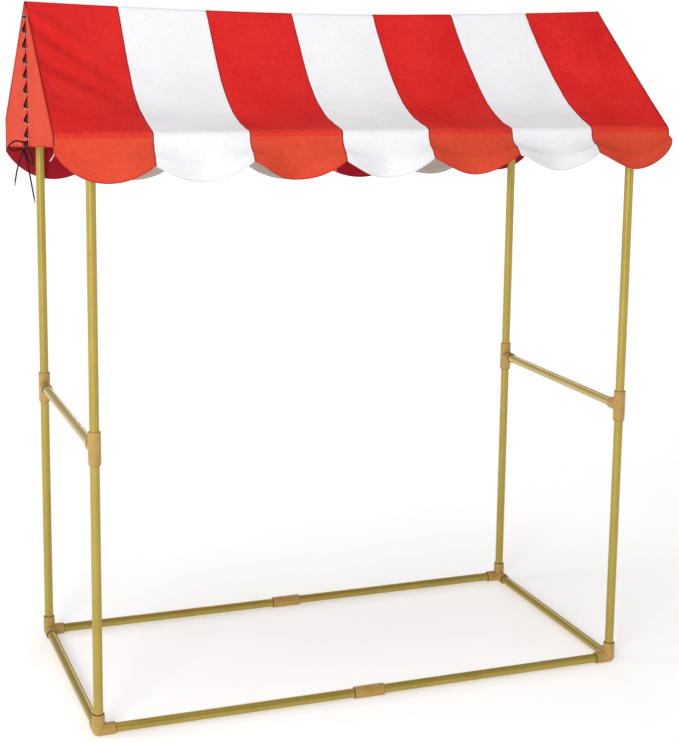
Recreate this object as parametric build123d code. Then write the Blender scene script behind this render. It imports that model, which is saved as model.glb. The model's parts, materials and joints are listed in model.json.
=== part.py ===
from build123d import *
import math
import os

# A free-standing play stall: a push-fit tube frame under a striped, scalloped canopy cover.
# Millimetres. The origin is on the floor under the middle of the stall. +X is the customer's
# right when facing the front, -Y is the front and +Z is up.

# Frame
post_span_x = 1143.0  # between the post centres, left to right
post_span_y = 549.0  # between the post centres, front to back
tube_d = 19.0
tube_wall = 1.6
fitting_d = 25.0
arm_length = 33.0  # from a fitting's centre to the rim of its socket
stop_depth = 10.0  # from a fitting's centre to the shoulder that a tube stops on
rim_round = 1.2
push_clearance = 0.05  # all round a tube in its socket
lift_gap = 0.3  # under the upper posts, which lift out of the side tees
foot_flat = 0.7  # how deep the flat under each floor fitting is cut
side_bar_rise = 571.0  # floor rail to side bar, centre to centre
eave_rise = 1160.0  # floor rail to eave rail
ridge_rise = 1397.5  # floor rail to the ends of the ridge
ridge_droop = 16.0  # how far the ridge hangs lower at its middle coupling

# Cover
overhang = 70.0  # from the post centres to the outside of the gables
cloth = 1.5
cover_gap = 0.5  # between the cover and the fittings that it lies on
stripe_count = 7
scallop_top_drop = 66.0  # from the eave crease to where two scallops meet
scallop_depth = 29.0
end_scallop_low = 100.0  # from a gable to the lowest point of the scallop next to it
end_scallop_drop = 10.0  # from the gable's hem to where that scallop starts
gable_drop = 26.0  # from the front eave crease to the gable's hem
back_extra = 40.0  # how much lower the cover hangs at the back
front_kick = 19.0  # how far the right half of the front valance stands out at its foot
gable_gap = 0.3  # between a gable panel and the slopes above it
sag_middle = 48.0  # how far the slopes hang below a straight line
sag_end = 2.0
sag_skew = 1.1  # above 1 the deepest point lies nearer the eave

# Lacing, at the left gable
slit = 12.0  # between the two flaps
eyelet_y = 14.0
eyelet_bore_r = 2.3
eyelet_barrel_r = 3.1
eyelet_flange_r = 5.0
eyelet_flange = 0.7
lace_d = 3.2
lace_rows = 9
lace_pitch = 29.5
lace_top_drop = 29.5  # from the ridge crease to the top eyelets
lace_bend = 2.2
lace_cross_y = 6.2
lace_cross_rise = 2.6  # keeps the two strands apart where they cross
lace_stand_off = 4.0  # how far the strands stand out of the cloth at the crossings
knot_drop = 12.0  # below the last row of eyelets
knot_r = (5.0, 8.0, 6.5)

# Sewn ties
corner_tie_d = 2.2
front_tie_d = 1.6

# Worked out from these
tube_r = tube_d / 2
fitting_r = fitting_d / 2
hx = post_span_x / 2
hy = post_span_y / 2
floor_z = fitting_r - foot_flat
bar_z = floor_z + side_bar_rise
eave_z = floor_z + eave_rise
ridge_z = floor_z + ridge_rise
cover_hx = hx + overhang
inner_x = cover_hx - cloth
lace_room = 6.0  # between the gables and the end fittings, for the back of the lacing
end_x = inner_x - lace_room - fitting_r
cover_r = fitting_r + cover_gap + cloth / 2  # middle of the cloth round a rail or the ridge
crease_z = eave_z + fitting_r
hem_z = crease_z - gable_drop
stripe = 2 * cover_hx / stripe_count
cusp_z = crease_z - scallop_top_drop
valance_z = cusp_z - scallop_depth

os.makedirs("parts", exist_ok=True)


def save(shape, name):
    export_step(shape, f"parts/{name}.step")


def place(origin, direction):
    """A location at origin with its own Z along direction."""
    return Plane(origin=origin, z_dir=direction).location


def rod(origin, direction, radius, start, end):
    """A solid cylinder along direction, from start to end millimetres from origin."""
    body = Cylinder(radius, end - start, align=(Align.CENTER, Align.CENTER, Align.MIN))
    return place(origin, direction) * Pos(0, 0, start) * body


def tube(a, b, start_gap=0.0):
    """The tube between two fitting centres, from shoulder to shoulder."""
    a, b = Vector(*a), Vector(*b)
    along = (b - a).normalized()
    start, end = stop_depth + start_gap, (b - a).length - stop_depth
    outside = rod(a, along, tube_r, start, end)
    return outside - rod(a, along, tube_r - tube_wall, start - 1, end + 1)


def arm(length):
    """One solid arm of a fitting along +Z, with its rim rounded."""
    profile = make_face(
        Polyline((0, 0), (fitting_r, 0), (fitting_r, length - rim_round))
        + RadiusArc((fitting_r, length - rim_round), (fitting_r - rim_round, length), -rim_round)
        + Polyline((fitting_r - rim_round, length), (0, length), (0, 0))
    )
    return revolve(Plane.XZ * profile, Axis.Z)


def fitting(centre, sockets, spigot=None):
    """A moulded fitting: a ball with one socket arm along each direction, and a spigot if given."""
    body = Pos(*centre) * Sphere(fitting_r)
    for direction in sockets:
        body += place(centre, direction) * arm(arm_length)
    if spigot:
        body += rod(centre, spigot, tube_r, 0, post_to_corner - stop_depth)
    for direction in sockets:
        body -= rod(centre, direction, tube_r - 2 * push_clearance - tube_wall, 0, arm_length)
        body -= rod(centre, direction, tube_r + push_clearance, stop_depth, arm_length + 1)
    if spigot:
        body -= rod(centre, spigot, tube_r - tube_wall, 0, post_to_corner)
    return body


def with_foot(body):
    """The fitting with the flat that it stands on."""
    below = Box(4 * hx, 4 * hy, 2 * fitting_d, align=(Align.CENTER, Align.CENTER, Align.MAX))
    return body - below


post_to_corner = end_x - hx
sides_x = {"left": -1, "right": 1}
sides_y = {"front": -1, "back": 1}
side_tee = fitting((0, 0, 0), [(0, 1, 0), (0, 0, 1), (0, 0, -1)])

# Floor frame and posts
for y_name, sy in sides_y.items():
    middle = (0, sy * hy, floor_z)
    save(with_foot(fitting(middle, [(1, 0, 0), (-1, 0, 0)])), f"base_{y_name}_coupling")
    for x_name, sx in sides_x.items():
        corner = (sx * hx, sy * hy, floor_z)
        tee = (sx * hx, sy * hy, bar_z)
        top = (sx * hx, sy * hy, eave_z)
        where = f"{y_name}_{x_name}"
        corner_arms = [(-sx, 0, 0), (0, -sy, 0), (0, 0, 1)]
        save(with_foot(fitting(corner, corner_arms)), f"base_corner_{where}")
        save(tube(middle, corner), f"base_{y_name}_rail_{x_name}")
        save(tube(corner, tee), f"lower_post_{where}")
        save(Pos(*tee) * Rot(0, 0, 90 + 90 * sy) * side_tee, f"side_tee_{where}")
        save(tube(tee, top, lift_gap), f"upper_post_{where}")
        save(fitting(top, [(0, 0, -1), (1, 0, 0), (-1, 0, 0)]), f"eave_tee_{where}")

for x_name, sx in sides_x.items():
    save(tube((sx * hx, -hy, floor_z), (sx * hx, hy, floor_z)), f"base_{x_name}_rail")
    save(tube((sx * hx, -hy, bar_z), (sx * hx, hy, bar_z)), f"side_bar_{x_name}")

# Eave rails and their corners
eave_couplings = []
for y_name, sy in sides_y.items():
    middle = (0, sy * hy, eave_z)
    eave_couplings.append(fitting(middle, [(1, 0, 0), (-1, 0, 0)]))
    for x_name, sx in sides_x.items():
        save(tube(middle, (sx * hx, sy * hy, eave_z)), f"eave_{y_name}_rail_{x_name}")
        corner = fitting((sx * end_x, sy * hy, eave_z), [(0, -sy, 0)], spigot=(-sx, 0, 0))
        save(corner, f"eave_corner_{y_name}_{x_name}")
save(Compound(children=eave_couplings), "eave_couplings")

# Gable ends: end rail, the tee that slides onto it, king post and ridge elbow
ridge_middle = (0, 0, ridge_z - ridge_droop)
for x_name, sx in sides_x.items():
    foot = (sx * end_x, 0, eave_z)
    peak = (sx * end_x, 0, ridge_z)
    inward = (-sx * end_x, 0, -ridge_droop)
    save(tube((sx * end_x, -hy, eave_z), (sx * end_x, hy, eave_z)), f"end_rail_{x_name}")
    end_tee = fitting(foot, [(0, 1, 0), (0, -1, 0), (0, 0, 1)])
    end_tee -= rod(foot, (0, 1, 0), tube_r + push_clearance, -arm_length, arm_length)
    save(end_tee, f"end_tee_{x_name}")
    save(tube(foot, peak), f"king_post_{x_name}")
    save(fitting(peak, [(0, 0, -1), inward]), f"ridge_elbow_{x_name}")
    save(tube(peak, ridge_middle), f"ridge_tube_{x_name}")
ridge_arms = [(end_x, 0, ridge_droop), (-end_x, 0, ridge_droop)]
save(fitting(ridge_middle, ridge_arms), "ridge_coupling")


# The cover
def sag_at(x):
    """How far the slopes sag in their middle, at a distance x from the stall's middle."""
    return sag_middle - (sag_middle - sag_end) * abs(x / cover_hx) ** 4


def ridge_at(x):
    """The height of the ridge tubes' centreline."""
    return ridge_z - ridge_droop * (1 - abs(x) / end_x)


def arc_points(centre_y, centre_z, radius, first, last, count):
    """Points (y, z) round a circle, from one angle to another in degrees."""
    steps = [math.radians(first + (last - first) * k / count) for k in range(count + 1)]
    return [(centre_y + radius * math.cos(a), centre_z + radius * math.sin(a)) for a in steps]


def slope_points(x, radius):
    """The sagging slope from the front eave up to the ridge, without its two ends."""
    top_z = ridge_at(x)
    pitch = math.atan2(top_z - eave_z, hy)
    out_y, out_z = -math.sin(pitch), math.cos(pitch)
    points = []
    for t in (0.85, 0.7, 0.55, 0.4, 0.25, 0.12):
        y = -hy * t + radius * out_y
        z = top_z + (eave_z - top_z) * t + radius * out_z
        drop = sag_at(x) * math.sin(math.pi * t**sag_skew)
        points.append((y - drop * out_y, z - drop * out_z))
    return points


def kick_at(x):
    """How far the front valance's foot stands out at x."""
    share = min(max(x / (0.55 * cover_hx), 0), 1)
    return front_kick * share**2 * (3 - 2 * share)


def outline(x, offset, low_z, kick=0.0):
    """The cover's cross-section, from the front valance's foot over the ridge to the back one's."""
    radius = cover_r + offset
    eave = arc_points(-hy, eave_z, radius, 180, 110, 4)
    ridge = arc_points(0, ridge_at(x), radius, 142, 90, 2)
    half = eave + slope_points(x, radius) + ridge
    back = [(-y, z) for y, z in reversed(half[:-1])]
    foot, back_foot = (-hy - radius - kick, low_z), (hy + radius, low_z - back_extra)
    return [foot] + half + back + [back_foot]


def section(x):
    """The closed cross-section of the cloth at x."""
    outside = outline(x, cloth / 2, valance_z, kick_at(x))
    inside = outline(x, -cloth / 2, valance_z, kick_at(x))
    loop = [Vector(x, y, z) for y, z in outside + inside[::-1]]
    return make_face(Polyline(*loop, close=True))


def quarter_scallop(low, end):
    """An arc from a scallop's lowest point, level there, to one of its ends."""
    across, up = end[0] - low[0], end[1] - low[1]
    radius = (across**2 + up**2) / (2 * up)
    half_turn = math.atan2(abs(across), radius - up) / 2
    side = math.copysign(1, across)
    middle = (low[0] + side * radius * math.sin(half_turn), low[1] + radius * (1 - math.cos(half_turn)))
    return ThreePointArc(low, middle, end)


def scallops(lower):
    """What is cut from a valance to leave its scallops, lower than the front ones by lower."""
    cut = None
    foot = valance_z - lower - scallop_depth
    for k in range(stripe_count):
        left, right = -cover_hx + k * stripe, -cover_hx + (k + 1) * stripe
        left_end, low, right_end = (left, cusp_z), ((left + right) / 2, valance_z), (right, cusp_z)
        if k == 0:
            left_end, low = (left, hem_z - end_scallop_drop), (left + end_scallop_low, valance_z)
        if k == stripe_count - 1:
            right_end, low = (right, hem_z - end_scallop_drop), (right - end_scallop_low, valance_z)
        left_end, low, right_end = [(x, z - lower) for x, z in (left_end, low, right_end)]
        edge = quarter_scallop(low, left_end) + quarter_scallop(low, right_end)
        edge += Polyline(right_end, (right, foot), (left, foot), left_end)
        side = 1 if lower else -1
        solid = extrude(Plane.XZ * make_face(edge), amount=2 * hy, dir=(0, side, 0))
        cut = solid if cut is None else cut + solid
    return cut


stations = [-1, -0.75, -0.4, 0, 0.4, 0.75, 1]
cover = loft([section(s * cover_hx) for s in stations], ruled=True)
save(cover - scallops(0) - scallops(back_extra), "canopy_cover")


# The gable panels
def gable_panel(sx):
    """A whole gable: it fills the end of the cover and hangs a little below the eave."""
    edge = outline(cover_hx, -cloth / 2 - gable_gap, hem_z)
    face = make_face(Polyline(*[Vector(sx * inner_x, y, z) for y, z in edge], close=True))
    return extrude(face, amount=cloth, dir=(sx, 0, 0))


lace_rows_z = [ridge_z + fitting_r - lace_top_drop - k * lace_pitch for k in range(lace_rows)]
eyelet_places = [(side * eyelet_y, z) for z in lace_rows_z for side in (-1, 1)]

save(gable_panel(1), "gable_right")
left = gable_panel(-1)
left -= Pos(-inner_x, 0, eave_z) * Box(4 * cloth, slit, 2 * ridge_rise)
hole_r = eyelet_barrel_r + push_clearance
for y, z in eyelet_places:
    left -= rod((-inner_x, y, z), (-1, 0, 0), hole_r, -cloth, 2 * cloth)
front_half = Pos(-inner_x, -hy, eave_z) * Box(8 * cloth, 2 * hy, 2 * ridge_rise)
save(left & front_half, "gable_flap_front")
save(left - front_half, "gable_flap_back")


def eyelet(y, z):
    """A rolled metal eyelet through the cloth, its axis along X."""
    ring = rod((-inner_x, y, z), (-1, 0, 0), eyelet_barrel_r, 0, cloth)
    for start in (-eyelet_flange, cloth):
        ring += rod((-inner_x, y, z), (-1, 0, 0), eyelet_flange_r, start, start + eyelet_flange)
    return ring - rod((-inner_x, y, z), (-1, 0, 0), eyelet_bore_r, -cloth, 2 * cloth)


save(Compound(children=[eyelet(y, z) for y, z in eyelet_places]), "eyelets")


# The lace: one cord, crossing the slit from the top row down to a knot
out_x = -cover_hx - eyelet_flange - lace_d / 2 - 0.3
in_x = -inner_x + eyelet_flange + lace_d / 2 + 0.3
cross_x = -cover_hx - lace_stand_off
knot = Vector(-cover_hx - knot_r[0] - 0.3, 0, lace_rows_z[-1] - knot_drop)


def strand(side):
    """The points of one half of the lace, from its first eyelet to the knot."""
    points = []
    for k, z in enumerate(lace_rows_z):
        points += [(out_x, side * eyelet_y, z), (in_x, side * eyelet_y, z)]
        if k == lace_rows - 1:
            break
        below = lace_rows_z[k + 1]
        centre = (z + below) / 2 + side * lace_cross_rise
        share = (eyelet_y - lace_cross_y) / eyelet_y
        inside_z = z + (centre - z) * share
        outside_z = below + (centre - below) * share
        # The strand that comes from the back flap crosses over the other one.
        first, last = (lace_cross_y, -lace_cross_y) if side > 0 else (-lace_cross_y, lace_cross_y)
        points += [(in_x, first, inside_z), (cross_x, last, outside_z)]
        side = -side
    points += [(in_x, side * lace_cross_y * 0.8, z - knot_drop / 2)]
    return points + [(knot.X + 2, side * 2.5, knot.Z + 1)]


def cord(points, diameter, radii):
    """A round cord along straight runs joined by tangent arcs."""
    path = FilletPolyline(*points, radius=radii)
    start = path.position_at(0)
    circle = Plane(origin=start, z_dir=path.tangent_at(0)) * Circle(diameter / 2)
    return sweep(circle, path=path)


middle_z = lace_rows_z[0] + 1.5
route = strand(-1)[::-1] + [(out_x - 1.2, 0, middle_z)] + strand(1)
lace = cord(route, lace_d, lace_bend)
lump = Pos(knot) * scale(Sphere(1), by=knot_r)
save(lace + lump, "lace")


# Free cords. Each route is a list of points from the knot or from a seam.
def free_radii(points, diameter):
    """A radius for each corner, as large as its two runs allow."""
    spots = [Vector(*p) for p in points]
    radii = []
    for before, here, after in zip(spots, spots[1:], spots[2:]):
        shorter = min((here - before).length, (after - here).length)
        turn = (here - before).get_angle(after - here)
        radii.append(0.45 * shorter / math.tan(math.radians(turn) / 2))
    print("radii", [round(r, 1) for r in radii], "diameter", diameter)
    return radii


def free_cord(points, diameter, name):
    points = [tuple(p) for p in points]
    solid = cord(points, diameter, free_radii(points, diameter))
    section_area = math.pi * diameter**2 / 4
    print(name, "length", round(solid.volume / section_area, 1))
    save(solid, name)


outer_loop = [
    (-3.0, 1.5, 2.0),
    (-13.0, 4.0, 6.5),
    (-25.0, 7.0, 2.5),
    (-32.5, 9.0, -7.0),
    (-26.0, 8.5, -15.0),
    (-14.5, 5.5, -13.5),
    (-6.0, 2.0, -9.5),
    (-4.0, 2.5, -19.0),
    (-9.5, 5.0, -33.0),
    (-16.5, 7.5, -53.0),
    (-20.5, 9.0, -82.0),
]
inner_loop = [
    (-3.0, -2.0, 1.0),
    (-2.5, -14.0, 1.5),
    (0.0, -28.0, -5.5),
    (4.5, -41.0, -18.0),
    (8.0, -51.0, -32.0),
    (6.0, -48.5, -41.0),
    (2.5, -36.0, -37.5),
    (-0.5, -21.0, -24.0),
    (-1.5, -6.0, -11.5),
    (-2.5, 4.0, -9.0),
    (-1.0, 7.0, -17.0),
    (2.0, 3.5, -30.0),
    (5.0, -2.0, -47.0),
    (7.0, -10.5, -65.0),
    (8.6, -25.0, -87.0),
    (9.4, -46.0, -112.0),
]
free_cord([knot + Vector(*p) for p in outer_loop], lace_d, "lace_end_outer")
free_cord([knot + Vector(*p) for p in inner_loop], lace_d, "lace_end_inner")

corner_seam = Vector(-inner_x + 2.9, -hy - 9.5, hem_z)
corner_tie = [
    (0.0, 0.5, 11.0),
    (0.1, 0.0, -1.0),
    (-1.6, -1.0, -12.0),
    (-6.2, -1.8, -20.5),
    (-11.0, -2.2, -26.0),
]
free_cord([corner_seam + Vector(*p) for p in corner_tie], corner_tie_d, "corner_tie")

stripe_seam = Vector(-cover_hx + 3 * stripe, -hy - 11.4, cusp_z)
front_tie = [
    (-0.4, 0.0, 42.0),
    (0.7, 0.1, 22.0),
    (-0.8, 0.0, 1.0),
    (0.4, 0.2, -22.0),
]
free_cord([stripe_seam + Vector(*p) for p in front_tie], front_tie_d, "front_tie")
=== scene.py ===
import json
import math

import bpy
import numpy as np
from mathutils import Matrix, Vector, noise
from mathutils.geometry import delaunay_2d_cdt


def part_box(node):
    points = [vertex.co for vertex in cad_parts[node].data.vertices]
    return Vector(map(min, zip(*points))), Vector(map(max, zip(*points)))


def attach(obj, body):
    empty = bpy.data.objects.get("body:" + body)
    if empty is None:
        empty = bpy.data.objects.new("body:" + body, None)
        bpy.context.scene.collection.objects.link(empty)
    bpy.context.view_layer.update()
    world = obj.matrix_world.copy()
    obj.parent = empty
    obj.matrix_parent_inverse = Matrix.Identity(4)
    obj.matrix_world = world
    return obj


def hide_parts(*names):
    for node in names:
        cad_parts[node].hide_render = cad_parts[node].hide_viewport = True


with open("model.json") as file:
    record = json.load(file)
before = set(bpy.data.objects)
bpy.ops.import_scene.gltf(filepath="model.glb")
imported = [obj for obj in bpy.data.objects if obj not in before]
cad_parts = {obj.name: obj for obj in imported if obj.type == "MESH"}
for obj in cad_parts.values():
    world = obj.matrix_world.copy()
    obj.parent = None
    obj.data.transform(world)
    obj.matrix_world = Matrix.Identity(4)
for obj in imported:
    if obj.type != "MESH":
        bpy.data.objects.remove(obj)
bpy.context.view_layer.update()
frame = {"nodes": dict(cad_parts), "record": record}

# ---------------------------------------------------------------- sizes, from the frame
cover_lo, cover_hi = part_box("canopy_cover")
half = cover_hi.x  # from the middle to the outside of a gable
rail_lo, rail_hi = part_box("eave_front_rail_right")
eave_y = (rail_lo.y + rail_hi.y) / 2
eave_z = (rail_lo.z + rail_hi.z) / 2
tube_r = (rail_hi.z - rail_lo.z) / 2
elbow_lo, elbow_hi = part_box("ridge_elbow_left")
fitting_r = (elbow_hi.y - elbow_lo.y) / 2
ridge_z = elbow_hi.z - fitting_r
_, coupling_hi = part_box("ridge_coupling")
ridge_droop = ridge_z - (coupling_hi.z - fitting_r)
_, flap_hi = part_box("gable_flap_front")
slit_half = -flap_hi.y
eyelet_lo, eyelet_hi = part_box("eyelets")

STRIPES = 7
stripe = 2 * half / STRIPES
crease_z = eave_z + fitting_r
CUSP_DROP = 0.066
SCALLOP_DEPTH = 0.029
END_SCALLOP_LOW = 0.100  # from a gable to the lowest point of the scallop next to it
END_SCALLOP_DROP = 0.010  # from the gable's hem to where that scallop starts
GABLE_DROP = 0.026
cusp_z = crease_z - CUSP_DROP
valance_z = cusp_z - SCALLOP_DEPTH
hem_z = crease_z - GABLE_DROP
back_extra = valance_z - cover_lo.z  # how much lower the cover hangs at the back

CLOTH = 0.0007
GABLE_CLOTH = 0.0014
LAP_R = fitting_r + 0.0009  # middle of the cloth where it lies over a rail or the ridge
EYELET_ROWS = 9
EYELET_FLANGE_R = 0.005
EYELET_HOLE_R = 0.0031
LACE_D = 0.0032
CORNER_TIE_D = 0.0022
FRONT_TIE_D = 0.0016


# ---------------------------------------------------------------- camera, floor and light
CAMERA_AT = (-1.1444, -3.1226, 1.3702)
CAMERA_TURN = 20.44  # to the right of straight ahead, in degrees
CAMERA_DIP = 9.62
CAMERA_ROLL = 0.69
CAMERA_LENS = 75.24
CAMERA_SHIFT = (0.004, -0.1023)


def make_camera():
    turn, dip, roll = (math.radians(a) for a in (CAMERA_TURN, CAMERA_DIP, CAMERA_ROLL))
    ahead = Vector((math.sin(turn) * math.cos(dip), math.cos(turn) * math.cos(dip), -math.sin(dip)))
    right = Vector((math.cos(turn), -math.sin(turn), 0))
    up = right.cross(ahead)
    rolled_right = math.cos(roll) * right + math.sin(roll) * up
    rolled_up = math.cos(roll) * up - math.sin(roll) * right
    data = bpy.data.cameras.new("camera")
    data.sensor_width = 36
    data.lens = CAMERA_LENS
    data.shift_x, data.shift_y = CAMERA_SHIFT
    data.clip_end = 50
    camera = bpy.data.objects.new("camera", data)
    axes = Matrix((rolled_right, rolled_up, -ahead)).transposed().to_4x4()
    camera.matrix_world = Matrix.Translation(CAMERA_AT) @ axes
    bpy.context.scene.collection.objects.link(camera)
    bpy.context.scene.camera = camera


def area_light(name, at, target, size, watts, colour=(1, 1, 1)):
    data = bpy.data.lights.new(name, "AREA")
    data.shape = "RECTANGLE"
    data.size, data.size_y = size
    data.energy = watts
    data.color = colour
    light = bpy.data.objects.new(name, data)
    light.location = at
    light.rotation_euler = (Vector(target) - Vector(at)).to_track_quat("-Z", "Y").to_euler()
    bpy.context.scene.collection.objects.link(light)


def make_studio():
    """A white backdrop that only the camera sees, dim light all round and five soft lights."""
    world = bpy.data.worlds.new("studio")
    world.use_nodes = True
    nodes, links = world.node_tree.nodes, world.node_tree.links
    path = nodes.new("ShaderNodeLightPath")
    level = nodes.new("ShaderNodeMapRange")
    level.inputs["To Min"].default_value = 0.40
    level.inputs["To Max"].default_value = 1.0
    links.new(path.outputs["Is Camera Ray"], level.inputs["Value"])
    links.new(level.outputs["Result"], nodes["Background"].inputs["Strength"])
    nodes["Background"].inputs["Color"].default_value = (1, 1, 1, 1)
    bpy.context.scene.world = world
    bpy.context.scene.view_settings.view_transform = "Standard"
    middle = (0, 0, 0.8)
    area_light("key", (-2.9, -4.0, 2.1), middle, (1.4, 1.4), 104, (1.0, 0.99, 0.97))
    area_light("side", (-4.2, 0.9, 1.9), middle, (1.2, 1.6), 42)
    area_light("fill", (3.2, -3.4, 1.5), middle, (1.0, 2.2), 9, (0.98, 0.99, 1.0))
    area_light("back", (1.2, 4.2, 2.3), middle, (1.6, 1.6), 22)
    area_light("top", (-0.4, -0.6, 4.4), middle, (2.4, 1.8), 26)


# ---------------------------------------------------------------- mesh helpers
def link(data, name):
    obj = bpy.data.objects.new(name, data)
    bpy.context.scene.collection.objects.link(obj)
    return obj


def smooth(mesh):
    mesh.polygons.foreach_set("use_smooth", [True] * len(mesh.polygons))
    mesh.update()


def mesh_piece(name, points, faces, materials, face_material=None, uv=None):
    mesh = bpy.data.meshes.new(name)
    mesh.from_pydata([tuple(p) for p in points], [], faces)
    for material in materials:
        mesh.materials.append(material)
    if face_material is not None:
        mesh.polygons.foreach_set("material_index", face_material)
    if uv is not None:
        layer = mesh.uv_layers.new(name="cloth")
        loops = np.zeros(len(mesh.loops), np.int32)
        mesh.loops.foreach_get("vertex_index", loops)
        layer.data.foreach_set("uv", np.asarray(uv, np.float32)[loops].ravel())
    smooth(mesh)
    return link(mesh, name)


def grid_faces(rows, columns):
    def corner(r, c):
        return r * columns + c

    return [
        (corner(r, c), corner(r, c + 1), corner(r + 1, c + 1), corner(r + 1, c))
        for r in range(rows - 1)
        for c in range(columns - 1)
    ]


def thicken(obj, thickness, inside_material=0):
    """Give a sheet its thickness. inside_material is added to the material numbers inside."""
    solidify = obj.modifiers.new("thickness", "SOLIDIFY")
    solidify.material_offset = inside_material
    solidify.thickness = thickness
    solidify.offset = 0


def line_piece(name, lines, radius, material, closed=False, sides=3):
    """Round cords or edgings, one poly spline for each list of points."""
    curve = bpy.data.curves.new(name, "CURVE")
    curve.dimensions = "3D"
    curve.bevel_depth = radius
    curve.bevel_resolution = sides
    curve.use_fill_caps = True
    for points in lines:
        spline = curve.splines.new("POLY")
        spline.points.add(len(points) - 1)
        for spot, p in zip(spline.points, points):
            spot.co = (*p, 1)
        spline.use_cyclic_u = closed
        spline.use_smooth = True
    curve.materials.append(material)
    return link(curve, name)


def nurbs_cord(name, points, diameter, material):
    curve = bpy.data.curves.new(name, "CURVE")
    curve.dimensions = "3D"
    curve.bevel_depth = diameter / 2
    curve.bevel_resolution = 4
    curve.use_fill_caps = True
    curve.resolution_u = 10
    spline = curve.splines.new("NURBS")
    spline.points.add(len(points) - 1)
    for spot, p in zip(spline.points, points):
        spot.co = (*p, 1)
    spline.order_u = 3
    spline.use_endpoint_u = True
    curve.materials.append(material)
    return link(curve, name)


def on_canopy(*pieces):
    for piece in pieces:
        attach(piece, "canopy")


# ---------------------------------------------------------------- materials
class Nodes:
    """A short way to write a node material round one Principled shader."""

    def __init__(self, name, roughness, metallic=0.0, coat=0.0):
        self.material = bpy.data.materials.new(name)
        self.material.use_nodes = True
        self.tree = self.material.node_tree
        self.shader = self.tree.nodes["Principled BSDF"]
        self.shader.inputs["Roughness"].default_value = roughness
        self.shader.inputs["Metallic"].default_value = metallic
        self.shader.inputs["Coat Weight"].default_value = coat

    def add(self, kind, **settings):
        node = self.tree.nodes.new(kind)
        for key, value in settings.items():
            setattr(node, key, value)
        return node

    def join(self, source, target):
        self.tree.links.new(source, target)

    def coordinates(self, output, scale=(1, 1, 1)):
        source = self.add("ShaderNodeTexCoord")
        mapping = self.add("ShaderNodeMapping")
        mapping.inputs["Scale"].default_value = scale
        self.join(source.outputs[output], mapping.inputs["Vector"])
        return mapping.outputs["Vector"]

    def noise(self, vector, scale, detail=3.0, roughness=0.55):
        node = self.add("ShaderNodeTexNoise")
        node.inputs["Scale"].default_value = scale
        node.inputs["Detail"].default_value = detail
        node.inputs["Roughness"].default_value = roughness
        self.join(vector, node.inputs["Vector"])
        return node.outputs["Fac"]

    def wave(self, vector, scale, direction, distortion=0.0):
        node = self.add("ShaderNodeTexWave", bands_direction=direction)
        node.inputs["Scale"].default_value = scale
        node.inputs["Distortion"].default_value = distortion
        self.join(vector, node.inputs["Vector"])
        return node.outputs["Fac"]

    def ramp(self, value, stops):
        node = self.add("ShaderNodeValToRGB")
        elements = node.color_ramp.elements
        for element, (place, colour) in zip(elements, stops):
            element.position = place
            element.color = (*colour, 1)
        for place, colour in stops[2:]:
            elements.new(place).color = (*colour, 1)
        self.join(value, node.inputs["Fac"])
        return node.outputs["Color"]

    def math(self, operation, first, second):
        node = self.add("ShaderNodeMath", operation=operation)
        for socket, value in zip(node.inputs, (first, second)):
            if isinstance(value, (int, float)):
                socket.default_value = value
            else:
                self.join(value, socket)
        return node.outputs["Value"]

    def span(self, value, low, high):
        node = self.add("ShaderNodeMapRange")
        node.inputs["To Min"].default_value = low
        node.inputs["To Max"].default_value = high
        self.join(value, node.inputs["Value"])
        return node.outputs["Result"]

    def bump(self, height, strength, distance, below=None):
        node = self.add("ShaderNodeBump")
        node.inputs["Strength"].default_value = strength
        node.inputs["Distance"].default_value = distance
        self.join(height, node.inputs["Height"])
        if below is not None:
            self.join(below, node.inputs["Normal"])
        return node.outputs["Normal"]

    def set(self, socket, output):
        self.join(output, self.shader.inputs[socket])


def cloth_material(name, dark, light):
    """Plain-woven polyester: fine warp and weft, slubs, soft creases and slightly uneven dye."""
    m = Nodes(name, roughness=0.78)
    m.shader.inputs["Specular IOR Level"].default_value = 0.10
    uv = m.coordinates("UV")
    warp = m.wave(uv, 260.0, "X", 0.6)
    weft = m.wave(uv, 260.0, "Y", 0.6)
    weave = m.math("MAXIMUM", warp, weft)
    slub = m.noise(m.coordinates("UV", (9, 160, 1)), 3.0, 4.0)
    dye = m.noise(uv, 9.0, 5.0, 0.6)
    fleck = m.noise(uv, 420.0, 2.0)
    mottle = m.noise(m.coordinates("UV", (1, 1.7, 1)), 85.0, 3.0, 0.7)
    shade = m.math("ADD", m.math("MULTIPLY", dye, 0.4), m.math("MULTIPLY", fleck, 0.2))
    shade = m.math("ADD", shade, m.math("MULTIPLY", mottle, 0.4))
    m.set("Base Color", m.ramp(shade, [(0.34, dark), (0.66, light)]))
    m.set("Roughness", m.span(slub, 0.68, 0.88))
    soft = m.bump(m.noise(uv, 26.0, 6.0, 0.7), 0.6, 0.0030)
    threads = m.bump(weave, 0.35, 0.0002, soft)
    m.set("Normal", m.bump(slub, 0.35, 0.0004, threads))
    return m.material


def thread_material(name, dark, light):
    m = Nodes(name, roughness=0.72)
    m.shader.inputs["Specular IOR Level"].default_value = 0.12
    where = m.coordinates("Object")
    twist = m.wave(where, 420.0, "DIAGONAL", 1.5)
    fuzz = m.noise(where, 900.0, 2.0)
    m.set("Base Color", m.ramp(m.math("MULTIPLY", twist, fuzz), [(0.1, dark), (0.6, light)]))
    m.set("Roughness", m.span(fuzz, 0.6, 0.85))
    m.set("Normal", m.bump(twist, 0.5, 0.0003))
    return m.material


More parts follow.
